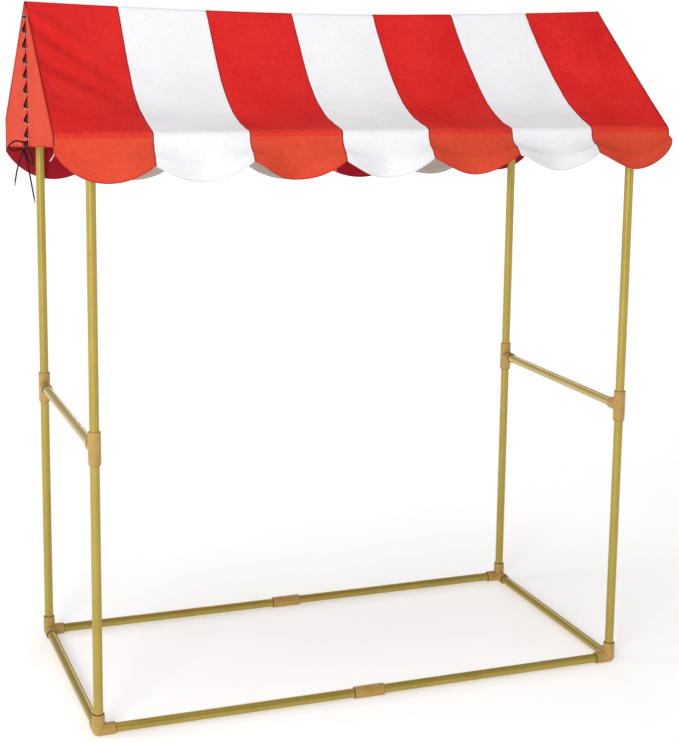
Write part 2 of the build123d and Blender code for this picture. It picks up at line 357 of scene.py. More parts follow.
def tube_material(name, dark, light, metallic):
    """Drawn tube with a satin mustard-gold finish: faint draw lines, handling marks, worn sheen."""
    m = Nodes(name, roughness=0.34, metallic=metallic, coat=0.10)
    m.shader.inputs["Coat Roughness"].default_value = 0.22
    m.shader.inputs["Specular IOR Level"].default_value = 0.35
    where = m.coordinates("Object")
    cloud = m.noise(where, 7.0, 5.0, 0.6)
    speck = m.noise(where, 260.0, 3.0, 0.7)
    tint = m.math("ADD", m.math("MULTIPLY", cloud, 0.7), m.math("MULTIPLY", speck, 0.3))
    m.set("Base Color", m.ramp(tint, [(0.3, dark), (0.7, light)]))
    marks = m.noise(m.coordinates("Object", (60, 60, 9)), 5.0, 6.0, 0.7)
    m.set("Roughness", m.span(marks, 0.24, 0.44))
    draw = m.bump(m.noise(where, 90.0, 2.0), 0.08, 0.0006)
    m.set("Normal", m.bump(speck, 0.10, 0.0002, draw))
    return m.material


def fitting_material():
    """Injection-moulded fittings: warmer and duller than the tubes, with a fine spark-eroded skin."""
    m = Nodes("moulded_fitting", roughness=0.46, metallic=0.12, coat=0.08)
    where = m.coordinates("Object")
    grain = m.noise(where, 800.0, 2.0, 0.6)
    flow = m.noise(where, 34.0, 5.0, 0.65)
    scuff = m.noise(m.coordinates("Object", (1, 1, 4)), 45.0, 6.0, 0.75)
    m.set("Base Color", m.ramp(flow, [(0.3, (0.38, 0.23, 0.046)), (0.72, (0.52, 0.33, 0.088))]))
    m.set("Roughness", m.span(scuff, 0.36, 0.6))
    skin = m.bump(grain, 0.22, 0.0002)
    m.set("Normal", m.bump(flow, 0.12, 0.0006, skin))
    return m.material


def lace_material():
    """Black braided cord: crossed wave bands make the braid's plaits."""
    m = Nodes("black_lace", roughness=0.62)
    m.shader.inputs["Specular IOR Level"].default_value = 0.15
    where = m.coordinates("Object")
    one = m.wave(where, 330.0, "DIAGONAL", 0.8)
    other = m.wave(m.coordinates("Object", (1, 1, -1)), 330.0, "DIAGONAL", 0.8)
    braid = m.math("MAXIMUM", one, other)
    fuzz = m.noise(where, 1200.0, 2.0)
    m.set("Base Color", m.ramp(fuzz, [(0.3, (0.003, 0.002, 0.002)), (0.75, (0.016, 0.010, 0.010))]))
    m.set("Roughness", m.span(fuzz, 0.5, 0.75))
    m.set("Normal", m.bump(braid, 0.55, 0.0005))
    return m.material


def eyelet_material():
    m = Nodes("nickel_eyelet", roughness=0.28, metallic=1.0)
    where = m.coordinates("Object")
    tarnish = m.noise(where, 300.0, 4.0, 0.65)
    m.set("Base Color", m.ramp(tarnish, [(0.3, (0.55, 0.54, 0.52)), (0.7, (0.74, 0.73, 0.70))]))
    m.set("Roughness", m.span(tarnish, 0.2, 0.42))
    m.set("Normal", m.bump(m.noise(where, 1500.0, 2.0), 0.1, 0.0001))
    return m.material


def aglet_material():
    m = Nodes("grey_aglet", roughness=0.3, coat=0.4)
    where = m.coordinates("Object")
    swirl = m.noise(where, 700.0, 4.0, 0.6)
    m.set("Base Color", m.ramp(swirl, [(0.3, (0.20, 0.20, 0.20)), (0.7, (0.34, 0.33, 0.33))]))
    m.set("Roughness", m.span(swirl, 0.22, 0.4))
    return m.material


def shadow_material():
    """Painted shade in the gap round a tube in its socket: a dark, slightly mottled colour."""
    m = Nodes("socket_shadow", roughness=0.8)
    m.shader.inputs["Specular IOR Level"].default_value = 0.1
    shade_mottle = m.noise(m.coordinates("Object"), 400.0, 4.0, 0.6)
    m.set("Base Color", m.ramp(shade_mottle, [(0.3, (0.030, 0.017, 0.005)), (0.7, (0.075, 0.044, 0.014))]))
    m.set("Roughness", m.span(shade_mottle, 0.7, 0.9))
    return m.material


def floor_material():
    """A white floor with a soft glow, stronger near the middle, so that it runs into the backdrop."""
    m = Nodes("pale_floor", roughness=0.7)
    where = m.coordinates("Object")
    m.set("Base Color", m.ramp(m.noise(where, 2.0, 3.0), [(0.3, (0.90,) * 3), (0.7, (0.93,) * 3)]))
    gradient = m.add("ShaderNodeTexGradient", gradient_type="SPHERICAL")
    m.join(m.coordinates("Object", (0.11, 0.11, 0.11)), gradient.inputs["Vector"])
    m.shader.inputs["Emission Color"].default_value = (1, 1, 1, 1)
    m.set("Emission Strength", m.span(gradient.outputs["Fac"], 0.8, 0.30))
    return m.material


red_cloth = cloth_material("red_cloth", (0.60, 0.008, 0.012), (0.80, 0.032, 0.026))
# Painted light: a copy of the red cloth painted lighter and more orange, for the gables and the front
# valance, where the front light falls.
gable_cloth = cloth_material("gable_cloth", (0.57, 0.047, 0.021), (0.72, 0.082, 0.038))
# Painted light: a copy of the red cloth painted halfway between the lighter copy and the slope's red, for
# the cloth lapped over the front eave.
half_lit_red_cloth = cloth_material("half_lit_red_cloth", (0.58, 0.024, 0.016), (0.76, 0.054, 0.032))
white_cloth = cloth_material("white_cloth", (0.85, 0.85, 0.88), (0.94, 0.94, 0.955))
# Painted shade: a copy of the white cloth painted darker, for the front valance and the cloth lapped over
# the front eave.
shaded_white_cloth = cloth_material("shaded_white_cloth", (0.77, 0.77, 0.80), (0.87, 0.87, 0.885))
# Painted shade: copies of the red and the white cloth painted darker, the white one grey-brown, for the
# inside of the cover under the canopy.
shaded_red_lining = cloth_material("shaded_red_lining", (0.26, 0.006, 0.014), (0.42, 0.012, 0.026))
shaded_white_lining = cloth_material("shaded_white_lining", (0.46, 0.41, 0.37), (0.60, 0.55, 0.50))
# Partly painted shade: a real seam thread, coloured much darker than the red cloth for the shadow along
# the seams between stripes and along the gable piping.
dark_seam_shade_thread = thread_material("dark_seam_shade_thread", (0.18, 0.005, 0.007), (0.36, 0.012, 0.014))
red_thread = thread_material("red_thread", (0.48, 0.015, 0.012), (0.70, 0.060, 0.040))
white_thread = thread_material("white_thread", (0.66, 0.65, 0.66), (0.88, 0.87, 0.87))
tie_thread = thread_material("tie_thread", (0.60, 0.50, 0.46), (0.88, 0.80, 0.76))
gold_tube = tube_material("gold_tube", (0.37, 0.275, 0.050), (0.48, 0.365, 0.078), 0.62)
# Painted light: a paler, less metallic copy of the gold tube for the side bars, lighter where the light
# from above falls on them.
lit_side_bar_tube = tube_material("pale_gold_tube", (0.50, 0.38, 0.12), (0.64, 0.50, 0.19), 0.50)
moulded_fitting = fitting_material()
black_lace = lace_material()
nickel = eyelet_material()
grey_aglet = aglet_material()
socket_shadow = shadow_material()


# ---------------------------------------------------------------- the cover's shape
SAG_MIDDLE = 0.048
SAG_END = 0.002
SAG_LOW = 0.12  # moves the deepest part of the sag towards the eave
RIDGE_BOW = 1.7
SLOPE_ROWS = 64
LAP_ROWS = 7
VALANCE_ROWS = 16
COLUMNS = 36  # in each stripe, without its seam

# How far the valances kick out, in degrees, at the stripe edges and middles from the left.
FRONT_KICK = [4, 5, 22, 6, 36, 3, 30, 6, 36, 20, 44, 28, 44, 28, 46]
BACK_KICK = [6, 2, 8, 1, 5, 3, 9, 2, 6, 1, 4, 2, 7, 3, 5]
KICK_SPEED = 1.6  # a valance reaches its kick this many times sooner than its edge
BACK_DROOP = 0.016  # the back valance hangs this much lower again in its middle
# How far the cloth is pulled along x, to the right where the value is positive.
EAVE_DRIFT = 0.013  # along the front eave
EAVE_DRIFT_START = 0.6  # from the left gable to where that pull is full
RIDGE_DRIFT = -0.006  # at the right end of the ridge
SLOPE_DRIFT = 0.013  # low on the slope, at most
SLOPE_DRIFT_AT = 0.42  # the x where that pull is greatest
SLOPE_DRIFT_WIDTH = 0.30  # how far along x it fades
BACK_SHARE = 0.3  # how much of the eave's and the slope's pull reaches the back


def ease(t):
    return t * t * (3 - 2 * t)


def at_half_stripes(values, x):
    """A value at x, eased between a list of values at each stripe's edges and middle."""
    place = min(max((x + half) / (stripe / 2), 0.0), len(values) - 1.0001)
    k = int(place)
    return values[k] + (values[k + 1] - values[k]) * ease(place - k)


def scallop_z(x):
    """The height of the front valance's edge, round arcs that meet level at each lowest point."""
    k = min(int((x + half) / stripe), STRIPES - 1)
    left, right = -half + k * stripe, -half + (k + 1) * stripe
    low = (left + right) / 2
    end_z = cusp_z
    if k == 0:
        low = left + END_SCALLOP_LOW
    if k == STRIPES - 1:
        low = right - END_SCALLOP_LOW
    if (k == 0 and x < low) or (k == STRIPES - 1 and x > low):
        end_z = hem_z - END_SCALLOP_DROP
    across, up = (low - left if x < low else right - low), end_z - valance_z
    radius = (across**2 + up**2) / (2 * up)
    return valance_z + radius - math.sqrt(radius**2 - min(abs(x - low), across) ** 2)


def ridge_height(x):
    """The height of the ridge's centreline under the cloth, bowed as the tubes sag."""
    share = min(abs(x) / -elbow_lo.x, 1.0)
    return ridge_z - ridge_droop * (1 - share**RIDGE_BOW)


def bump_line(distance, width):
    """A bell shape: 1 at distance 0, fading over the width."""
    return math.exp(-((distance / width) ** 2))


def rough(kind, x, y, seed, shift=0):
    """Uneven cloth at x, y. kind is (height, waves per unit of x, waves per unit of y)."""
    height, along_x, along_y = kind
    return height * noise.noise((x * along_x, y * along_y + shift, seed))


SLOPE_SWELL = (0.0042, 4.0, 1.6)
SLOPE_RIPPLE = (0.0017, 11.0, 6.0)
SLOPE_CRUMPLE = (0.0006, 34.0, 20.0)
VALANCE_SWELL = (0.0016, 9.0, 2.0)
VALANCE_CRUMPLE = (0.0004, 40.0, 7.0)
GABLE_SWELL = (0.0018, 9.0, 6.0)
GABLE_CRUMPLE = (0.0007, 30.0, 22.0)
STRIPE_BELLY = 0.0016  # how far a stripe stands proud between its seams


# Drag folds: start on the gable's seam (share of the slope from the ridge), fall (metres down
# the slope for each metre along), reach along the stall, width and height.
DRAG_FOLDS = [
    (0.08, 0.78, 0.20, 0.011, 0.0058),
    (0.16, 0.74, 0.24, 0.015, -0.0074),
    (0.28, 0.66, 0.15, 0.009, 0.0034),
    (0.40, 0.60, 0.21, 0.013, -0.0052),
    (0.50, 0.52, 0.12, 0.008, 0.0028),
    (0.62, 0.42, 0.12, 0.010, -0.0026),
    (0.76, 0.20, 0.10, 0.008, -0.0018),
]
DRAG_STRENGTH = {1: (1.0, 0.45), -1: (0.6, 0.8)}  # at the left and right end; 1 is the front
DRAG_END = 1.6  # where a drag fold is left out, in reaches
DRAG_SPREAD = 1.5  # how much wider it grows over its reach
DRAG_PINNED = 0.35  # its share of height where the gable's seam holds it
DRAG_FREE = 0.03  # how far from the seam it needs to reach its height
# Fold lines kept from packing, across the slope: share from the ridge, width, height.
PACK_CREASES = [
    (0.30, 0.006, 0.0007),
    (0.62, 0.005, -0.0006),
    (0.90, 0.004, -0.0010),
    (0.955, 0.004, 0.0009),
]
CREASE_WANDER = 0.006


def folds(x, t, length, side):
    """How far the slope stands off its smooth shape at x, a share t down from the ridge."""
    edge = math.sin(math.pi * min(max(t, 0), 1)) ** 0.6
    across = (x + half) / stripe
    stand = -STRIPE_BELLY * math.cos(2 * math.pi * across) * edge
    stand += rough(SLOPE_SWELL, x, t, 3.1 * side, 9 * side) * edge
    stand += rough(SLOPE_RIPPLE, x, t, 5.7 * side) * edge
    stand += rough(SLOPE_CRUMPLE, x, t, 8.3 * side)
    for place, width, height in PACK_CREASES:
        wander = CREASE_WANDER * noise.noise((x * 3.0, place * 10, side))
        strength = 0.5 + noise.noise((x * 5.0, place * 30, side * 2.0))
        stand += height * strength * bump_line((t - place) * length + wander, width)
    for end, strength in zip((-1, 1), DRAG_STRENGTH[side]):
        inward = half - end * x
        for start, fall, reach, width, height in DRAG_FOLDS:
            if inward > DRAG_END * reach:
                continue
            line = (t - start) * length - fall * inward
            distance = line / math.sqrt(1 + fall**2)
            fade = bump_line(inward, reach) * min(1.0, DRAG_PINNED + inward / DRAG_FREE)
            spread = width * (1 + DRAG_SPREAD * inward / reach)
            stand += strength * height * fade * bump_line(distance, spread)
    return stand


def slope_frame(x):
    """(ridge height, length, direction down, direction out, sag) of the front slope at x."""
    top = ridge_height(x)
    down = Vector((0, eave_y, eave_z - top))
    length = down.length
    down.normalize()
    out = Vector((0, down.z, -down.y))
    sag = SAG_MIDDLE - (SAG_MIDDLE - SAG_END) * abs(x / half) ** 4
    return top, length, down, out, sag


def slope_normal(t, length, down, out, sag):
    change = sag * math.pi * (math.cos(math.pi * t) - 2 * SAG_LOW * math.cos(2 * math.pi * t))
    return (out + down * (change / length)).normalized()


def half_profile(x, side, radius=LAP_R, wrinkled=True):
    """Points and outward normals at x, from the valance's edge to the ridge. side is 1 in front."""
    top, length, down, out, sag = slope_frame(x)
    points = []
    kick = math.radians(at_half_stripes(FRONT_KICK if side > 0 else BACK_KICK, x))
    eave = Vector((0, eave_y, eave_z))
    edge = scallop_z(x)
    if side < 0:
        edge -= back_extra + (BACK_DROOP * (1 - (x / half) ** 2) if wrinkled else 0.0)
    for r in range(VALANCE_ROWS):
        share = 1 - r / VALANCE_ROWS
        drop = (eave_z - edge) * share
        turn = kick * min(1.0, share * KICK_SPEED) if wrinkled else 0.0
        wave = 0.0
        if wrinkled:
            wave = share * rough(VALANCE_SWELL, x, share, 4.0 * side)
            wave += rough(VALANCE_CRUMPLE, x, share, 2.0 * side)
        y = -radius - drop * math.sin(turn) + wave
        points.append((eave + Vector((0, y, -drop * math.cos(turn))), Vector((0, -1, -turn)).normalized()))
    low = slope_normal(1.0, length, down, out, sag)
    last = math.atan2(low.z, -low.y)
    for r in range(LAP_ROWS):
        angle = last * r / LAP_ROWS
        normal = Vector((0, -math.cos(angle), math.sin(angle)))
        points.append((eave + radius * normal, normal))
    for r in range(SLOPE_ROWS + 1):
        t = 1 - r / SLOPE_ROWS
        normal = slope_normal(t, length, down, out, sag)
        hang = sag * (math.sin(math.pi * t) - SAG_LOW * math.sin(2 * math.pi * t))
        place = Vector((0, 0, top)) + down * length * t - out * hang + normal * radius
        if wrinkled:
            place += normal * folds(x, t, length, side)
        points.append((place, normal))
    high = slope_normal(0.0, length, down, out, sag)
    first = math.atan2(high.z, -high.y)
    for r in range(1, LAP_ROWS + 1):
        angle = first + (math.pi / 2 - first) * r / LAP_ROWS
        normal = Vector((0, -math.cos(angle), math.sin(angle)))
        points.append((Vector((0, 0, top)) + radius * normal, normal))
    return points


def rise_share(z):
    """0 at the eave crease and below it, 1 at the ridge."""
    return min(max((z - crease_z) / (ridge_z - crease_z), 0.0), 1.0)


def slide(x, z, front):
    """How far the cover is pulled along x at a height, on its front or back slope."""
    share = rise_share(z)
    pull = EAVE_DRIFT * ease(min((x + half) / EAVE_DRIFT_START, 1.0)) * (1 - share)
    bow = math.sin(math.pi * (1 - share) ** 2) * bump_line(x - SLOPE_DRIFT_AT, SLOPE_DRIFT_WIDTH)
    pull += SLOPE_DRIFT * bow * (1 - (x / half) ** 6)
    return pull * (1.0 if front else BACK_SHARE) + RIDGE_DRIFT * ease(max(x / half, 0.0)) * share


def full_profile(x, radius=LAP_R, wrinkled=True):
    """The whole cross-section at x: front valance, ridge, back valance."""
    front = half_profile(x, 1, radius, wrinkled)
    back = half_profile(x, -1, radius, wrinkled)[:-1]
    turned = [(Vector((0, -p.y, p.z)), Vector((0, -n.y, n.z))) for p, n in reversed(back)]
    return [(Vector((x + slide(x, p.z, p.y < 0), p.y, p.z)), n) for p, n in front + turned]


# The seam line is drawn in the dark thread colour, which paints the shade along the seam.
SEAM_LINE = 0.0011  # half the width of the stitched line between two stripes
PUCKER = (0.0007, 0.0022)  # how deep the stitches draw the cloth in, and how far to each side
RUCK = (0.0009, 0.014)  # how high the cloth rucks up along a seam, and how far to each side


def cover_columns():
    """(x, stripe number or -1 on a seam line) for each column of the cover."""
    columns = []
    for k in range(STRIPES):
        low = -half + k * stripe + (SEAM_LINE if k else 0)
        high = -half + (k + 1) * stripe - (SEAM_LINE if k < STRIPES - 1 else 0)
        for c in range(COLUMNS + 1):
            columns.append((low + (high - low) * c / COLUMNS, k if c < COLUMNS else -1))
    return columns


def seam_pucker(x, length_share):
    """Cloth next to a seam is drawn in by the stitches."""
    off = abs((x + half) / stripe - round((x + half) / stripe)) * stripe
    depth = PUCKER[0] * bump_line(off, PUCKER[1])
    ruck = RUCK[0] * bump_line(off, RUCK[1]) * noise.noise((x * 60.0, length_share * 55.0, 1.0))
    return ruck - depth


def stripe_cloths(row):
    """The red and white cloth of a row of faces, counted from the front valance's edge. The front
    valance has the red cloth painted lighter for light and the white painted darker for shade; the
    lap over the front eave has the red painted halfway lighter and the same darker white. The back
    valance has the slope's cloths."""
    if row < VALANCE_ROWS:
        return gable_cloth, shaded_white_cloth
    if row < VALANCE_ROWS + LAP_ROWS:
        return half_lit_red_cloth, shaded_white_cloth
    return red_cloth, white_cloth


def make_cover():
    columns = cover_columns()
    profiles = [full_profile(x) for x, _ in columns]
    rows = len(profiles[0])
    points, uv = [], []
    lengths = np.zeros(len(columns))
    previous = None
    for r in range(rows):
        here = [profiles[c][r][0] for c in range(len(columns))]
        if previous is not None:
            lengths += [(a - b).length for a, b in zip(here, previous)]
        for c, (x, _) in enumerate(columns):
            place, normal = profiles[c][r]
            seam = abs((x + half) / stripe) > 0.2 and abs((half - x) / stripe) > 0.2
            shift = seam_pucker(x, r / rows) if seam else 0.0
            points.append(place + normal * shift)
            uv.append((x, lengths[c]))
        previous = here
    faces = grid_faces(rows, len(columns))
    outer = [red_cloth, white_cloth, dark_seam_shade_thread, gable_cloth, half_lit_red_cloth, shaded_white_cloth]
    # Painted shade: the inside of the cover gets the darker copies of each cloth.
    inner = [shaded_red_lining, shaded_white_lining, dark_seam_shade_thread, shaded_red_lining, shaded_red_lining, shaded_white_lining]
    kinds = []
    for r in range(rows - 1):
        # Painted light and shade: the front valance and lap rows get the lighter red and the darker white
        # copies.
        red, white = stripe_cloths(r)
        for _, k in columns[:-1]:
            # Seam columns get the dark thread colour, painted shade along the real seam.
            cloth = dark_seam_shade_thread if k < 0 else (white if k % 2 else red)
            kinds.append(outer.index(cloth))
    cover = mesh_piece("cover", points, faces, outer + inner, kinds, uv)
    thicken(cover, CLOTH, len(outer))
    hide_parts("canopy_cover")
    on_canopy(cover)
    return profiles, columns


make_camera()
make_studio()
FLOOR_HALF = 30
corners = [(x * FLOOR_HALF, y * FLOOR_HALF, 0) for x, y in ((-1, -1), (1, -1), (1, 1), (-1, 1))]
floor = mesh_piece("floor", corners, [(0, 1, 2, 3)], [floor_material()])

profiles, columns = make_cover()


# ---------------------------------------------------------------- edgings and seams of the cover
def edge_lines(parity):
    """The valances' edges, stripe by stripe, for the stripes of one colour."""
    lines = []
    for row in (0, -1):
        for k in range(parity, STRIPES, 2):
            line = [profiles[c][row][0] for c, (_, n) in enumerate(columns) if n == k]
            lines.append(line)
    return lines


def seam_strip(name, x, width, inset, material):
    """A flat strip of seam allowance under the cover, from the front eave to the back one."""
    steps = [x - width / 2, x, x + width / 2]
    strips = [[p - n * inset for p, n in full_profile(s)] for s in steps]
    rows = range(VALANCE_ROWS, len(strips[0]) - VALANCE_ROWS)
    points = [strips[c][r] for r in rows for c in range(3)]
    uv = [(p.x, k * 0.002) for k, p in enumerate(points)]
    strip = mesh_piece(name, points, grid_faces(len(rows), 3), [material], None, uv)
    thicken(strip, CLOTH)
    return strip


EDGE_R = 0.0009
ALLOWANCE_WIDTH = 0.011
ALLOWANCE_INSET = 0.0011
red_edges = line_piece("valance_edges_red", edge_lines(0), EDGE_R, red_thread)
white_edges = line_piece("valance_edges_white", edge_lines(1), EDGE_R, white_thread)
on_canopy(red_edges, white_edges)
for k in range(1, STRIPES):
    seam_x = -half + k * stripe
    name = f"seam_allowance_{k}"
    on_canopy(seam_strip(name, seam_x, ALLOWANCE_WIDTH, ALLOWANCE_INSET, red_cloth))


# ---------------------------------------------------------------- gables
GABLE_STEP = 0.007
HOLE_SIDES = 14
HELD_BY_SLOPE = 0.05  # how far from the slopes the gable needs to billow fully
HELD_BY_CORNER = 0.03
HELD_BY_LACE = 0.02
PANEL_INSET = 0.0006


def hem_at(y):
    """The height of a gable's hem, which falls towards the back with the cover."""
    reach = -eave_y + LAP_R
    return hem_z - back_extra * (y + reach) / (2 * reach)


def end_line(inset):
    """The cover's end as (y, z) points from the front hem over the ridge to the back hem."""
    line = [p for p, _ in full_profile(half, LAP_R - inset, wrinkled=False)]
    shape = [(p.y, p.z) for p in line if p.z > hem_at(p.y) + 0.001]
    (front_y, _), (back_y, _) = shape[0], shape[-1]
    return [(front_y, hem_at(front_y))] + shape + [(back_y, hem_at(back_y))]


def end_x(side, y, z):
    """Where a gable stands along x. The right one follows the pull on the slopes beside it."""
    if side < 0:
        return -half
    reach = 0.001 - eave_y * (1 - rise_share(z))
    across = min(max(0.5 + 0.5 * y / reach, 0.0), 1.0)
    in_front, behind = slide(half, z, True), slide(half, z, False)
    return half + in_front + (behind - in_front) * across


def thin_line(points, step):
    """The line again with points at most step apart and none much closer."""
    line = [Vector(p) for p in points]
    out = [line[0]]
    for a, b in zip(line, line[1:]):
        count = max(1, round((b - a).length / step))
        out += [a.lerp(b, k / count) for k in range(1, count + 1)]
    kept = [out[0]]
    for p in out[1:]:
        if (p - kept[-1]).length > step * 0.45:
            kept.append(p)
    return kept


def inside(point, polygon):
    x, y = point
    found = False
    for (x1, y1), (x2, y2) in zip(polygon, polygon[1:] + polygon[:1]):
        if (y1 > y) != (y2 > y) and x < (x2 - x1) * (y - y1) / (y2 - y1) + x1:
            found = not found
    return found


def flat_panel(outline, holes, step):
    """A triangulated flat panel (points, faces) with round holes."""
    border = thin_line(outline + [outline[0]], step)[:-1]
    rings = []
    for y, z in holes:
        ring = []
        for k in range(HOLE_SIDES):
            angle = 2 * math.pi * k / HOLE_SIDES
            ring.append(Vector((y + EYELET_HOLE_R * math.cos(angle), z + EYELET_HOLE_R * math.sin(angle))))
        rings.append(ring)
    points, edges = [], []
    for loop in [border] + rings:
        start = len(points)
        points += loop
        edges += [(start + k, start + (k + 1) % len(loop)) for k in range(len(loop))]
    ys, zs = [p.x for p in border], [p.y for p in border]
    polygon = [(p.x, p.y) for p in border]
    row = 0
    z = min(zs) + step / 2
    while z < max(zs):
        y = min(ys) + (step / 2 if row % 2 else 0)
        while y < max(ys):
            clear = min((Vector((y, z)) - p).length for p in border) > 0.4 * step
            clear = clear and all(math.hypot(y - a, z - b) > 2 * EYELET_HOLE_R for a, b in holes)
            if clear and inside((y, z), polygon):
                points.append(Vector((y, z)))
            y += step
        z += step * 0.87
        row += 1
    made = delaunay_2d_cdt(points, edges, [], 0, 1e-7)
    spots, faces = made[0], made[2]
    kept = []
    for face in faces:
        middle = sum((spots[i] for i in face), Vector((0, 0))) / len(face)
        in_hole = any(math.hypot(middle.x - a, middle.y - b) < EYELET_HOLE_R for a, b in holes)
        if inside(middle, polygon) and not in_hole:
            kept.append(tuple(face))
    return spots, kept


def gable_bulge(y, z, outline_top):
    """How far the gable billows out of its plane, 0 at its edges."""
    below_slope = min(1.0, max(0.0, (outline_top - z) / HELD_BY_SLOPE))
    share = below_slope * min(1.0, (-eave_y + LAP_R - abs(y)) / HELD_BY_CORNER)
    soft = rough(GABLE_SWELL, y, z, 1.7) + rough(GABLE_CRUMPLE, y, z, 6.1)
    return max(share, 0.0) * soft


def make_gable(name, outline, holes, side, node):
    spots, faces = flat_panel(outline, holes, GABLE_STEP)
    order = sorted(outline)
    heights = ([p[0] for p in order], [p[1] for p in order])
    points = []
    for p in spots:
        near_slit = bump_line(max(abs(p.x) - HELD_BY_LACE, 0.0), HELD_BY_LACE) if holes else 0.0
        stand = gable_bulge(p.x, p.y, float(np.interp(p.x, *heights))) * (1 - near_slit)
        points.append((end_x(side, p.x, p.y) - side * 0.5 * GABLE_CLOTH + side * stand, p.x, p.y))
    if side < 0:
        faces = [f[::-1] for f in faces]
    # Painted light: the gables get the lighter, more orange copy of the red cloth.
    panel = mesh_piece(name, points, faces, [gable_cloth], None, [(p.x, p.y) for p in spots])
    thicken(panel, GABLE_CLOTH)
    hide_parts(node)
    on_canopy(panel)


def flap_outline(front):
    """One flap of the left gable: half the gable, with its edge at the slit."""
    whole = end_line(PANEL_INSET)
    edge_y = -slit_half if front else slit_half
    shape = [(y, z) for y, z in whole if (y < edge_y if front else y > edge_y)]
    top = float(np.interp(edge_y, [p[0] for p in whole[1:-1]], [p[1] for p in whole[1:-1]]))
    if front:
        return shape + [(edge_y, top), (edge_y, hem_at(edge_y))]
    return [(edge_y, hem_at(edge_y)), (edge_y, top)] + shape


row_z = np.linspace(eyelet_hi.z - EYELET_FLANGE_R, eyelet_lo.z + EYELET_FLANGE_R, EYELET_ROWS)
eyelet_y = eyelet_hi.y - EYELET_FLANGE_R
for front, flap in ((True, "gable_flap_front"), (False, "gable_flap_back")):
    holes = [((-eyelet_y if front else eyelet_y), float(z)) for z in row_z]
    name = flap.replace("flap", "flap_cloth")
    make_gable(name, flap_outline(front), holes, -1, flap)
make_gable("gable_cloth_right", end_line(PANEL_INSET), [], 1, "gable_right")


# ---------------------------------------------------------------- gable edgings, seams, stitches
STITCH_PITCH = 0.0042
STITCH_LENGTH = 0.0028
STITCH_WIDTH = 0.0007


def along_line(line, lengths, distance):
    """The point at a distance along a line of points."""
    return Vector([float(np.interp(distance, lengths, [p[i] for p in line])) for i in range(3)])


def stitches(name, lines, outward, material):
    """Rows of sewn stitches along lines of points, standing out along outward."""
    points, faces = [], []
    for line in lines:
        lengths = np.concatenate([[0], np.cumsum([(b - a).length for a, b in zip(line, line[1:])])])
        for k in range(int(lengths[-1] / STITCH_PITCH)):
            at = (k + 0.5) * STITCH_PITCH
            a = along_line(line, lengths, at - STITCH_LENGTH / 2)
            b = along_line(line, lengths, at + STITCH_LENGTH / 2)
            across = (b - a).cross(outward).normalized() * STITCH_WIDTH / 2
            lift = outward * STITCH_WIDTH * 0.7
            start = len(points)
            low = 0.25 * (b - a)
            points += [a - across, a + across, b + across, b - across]
            points += [a + low - across * 0.6 + lift, a + low + across * 0.6 + lift]
            points += [b - low + across * 0.6 + lift, b - low - across * 0.6 + lift]
            for f in ((4, 5, 6, 7), (0, 1, 5, 4), (1, 2, 6, 5), (2, 3, 7, 6), (3, 0, 4, 7)):
                faces.append(tuple(start + i for i in f))
    on_canopy(mesh_piece(name, points, faces, [material]))


def face_line(side, line, out=0.0):
    """(y, z) points as places on the outside of a gable."""
    return [Vector((end_x(side, y, z) + side * out, y, z)) for y, z in line]


def hem_line(first, last, rise):
    return [(y, hem_at(y) + rise) for y in np.linspace(first, last, 24)]


PIPING_R = 0.0011
PIPING_SUNK = 0.0004  # how far the piping's centre lies inside the gable's face
HEM_EDGE_R = 0.0010
SLOPE_STITCH_INSETS = (0.0065, 0.0095)
HEM_STITCH_RISE = 0.011
HEM_STITCH_END = 0.003  # from a hem's corner to its first stitch
corner_y = -eave_y + LAP_R - PANEL_INSET
for name, side in (("left", -1), ("right", 1)):
    out = Vector((side, 0, 0))
    rim = face_line(side, end_line(0.0), -PIPING_SUNK)
    # The piping is a real edging, coloured dark for the painted shade along the gable's edge.
    on_canopy(line_piece(f"gable_piping_{name}", [rim], PIPING_R, dark_seam_shade_thread))
    inner = [[(y, z) for y, z in end_line(inset) if z > hem_at(y)] for inset in SLOPE_STITCH_INSETS]
    spans = [(-corner_y, corner_y)]
    if side < 0:
        spans = [(-corner_y, -slit_half), (slit_half, corner_y)]
    hems = [hem_line(a + HEM_STITCH_END, b - HEM_STITCH_END, HEM_STITCH_RISE) for a, b in spans]
    stitches(f"gable_stitches_{name}", [face_line(side, line) for line in inner + hems], out, red_thread)
    edges = [face_line(side, hem_line(a, b, 0.0), -0.5 * GABLE_CLOTH) for a, b in spans]
    on_canopy(line_piece(f"gable_hem_{name}", edges, HEM_EDGE_R, red_thread))

# Two rows of stitches on each side of the slit, past its edge by these distances.
SLIT_STITCHES = (0.002, 0.0165)
slit_rows = []
for y in [side * (slit_half + past) for side in (-1, 1) for past in SLIT_STITCHES]:
    heights = np.linspace(hem_at(y) + 0.004, float(row_z[0]) + 0.008, 20)
    slit_rows.append(face_line(-1, [(y, z) for z in heights]))
stitches("slit_stitches", slit_rows, Vector((-1, 0, 0)), red_thread)

# A felled seam down the middle of the right gable: a raised band with a stitched row on each side.
FELL_RISE = 0.0006
FELL_SECTION = ((-0.0052, 0.0), (-0.0044, FELL_RISE), (0.0044, FELL_RISE), (0.0052, 0.0))
FELL_STITCH_Y = 0.0036
FELL_ROWS = 40
seam_heights = np.linspace(hem_at(0) + 0.001, ridge_z + LAP_R - 0.004, FELL_ROWS)
band = [(end_x(1, y, z) + out, y, z) for z in seam_heights for y, out in FELL_SECTION]
band_faces = grid_faces(FELL_ROWS, len(FELL_SECTION))
band_uv = [(y, z) for _, y, z in band]
# Painted light: the band has the gables' lighter copy of the red cloth.
felled = mesh_piece("gable_centre_seam", band, band_faces, [gable_cloth], None, band_uv)
on_canopy(felled)
seam_rows = []
for y in (-FELL_STITCH_Y, FELL_STITCH_Y):
    seam_rows.append(face_line(1, [(y, z) for z in seam_heights[:-1]], FELL_RISE))
stitches("gable_centre_stitches", seam_rows, Vector((1, 0, 0)), red_thread)


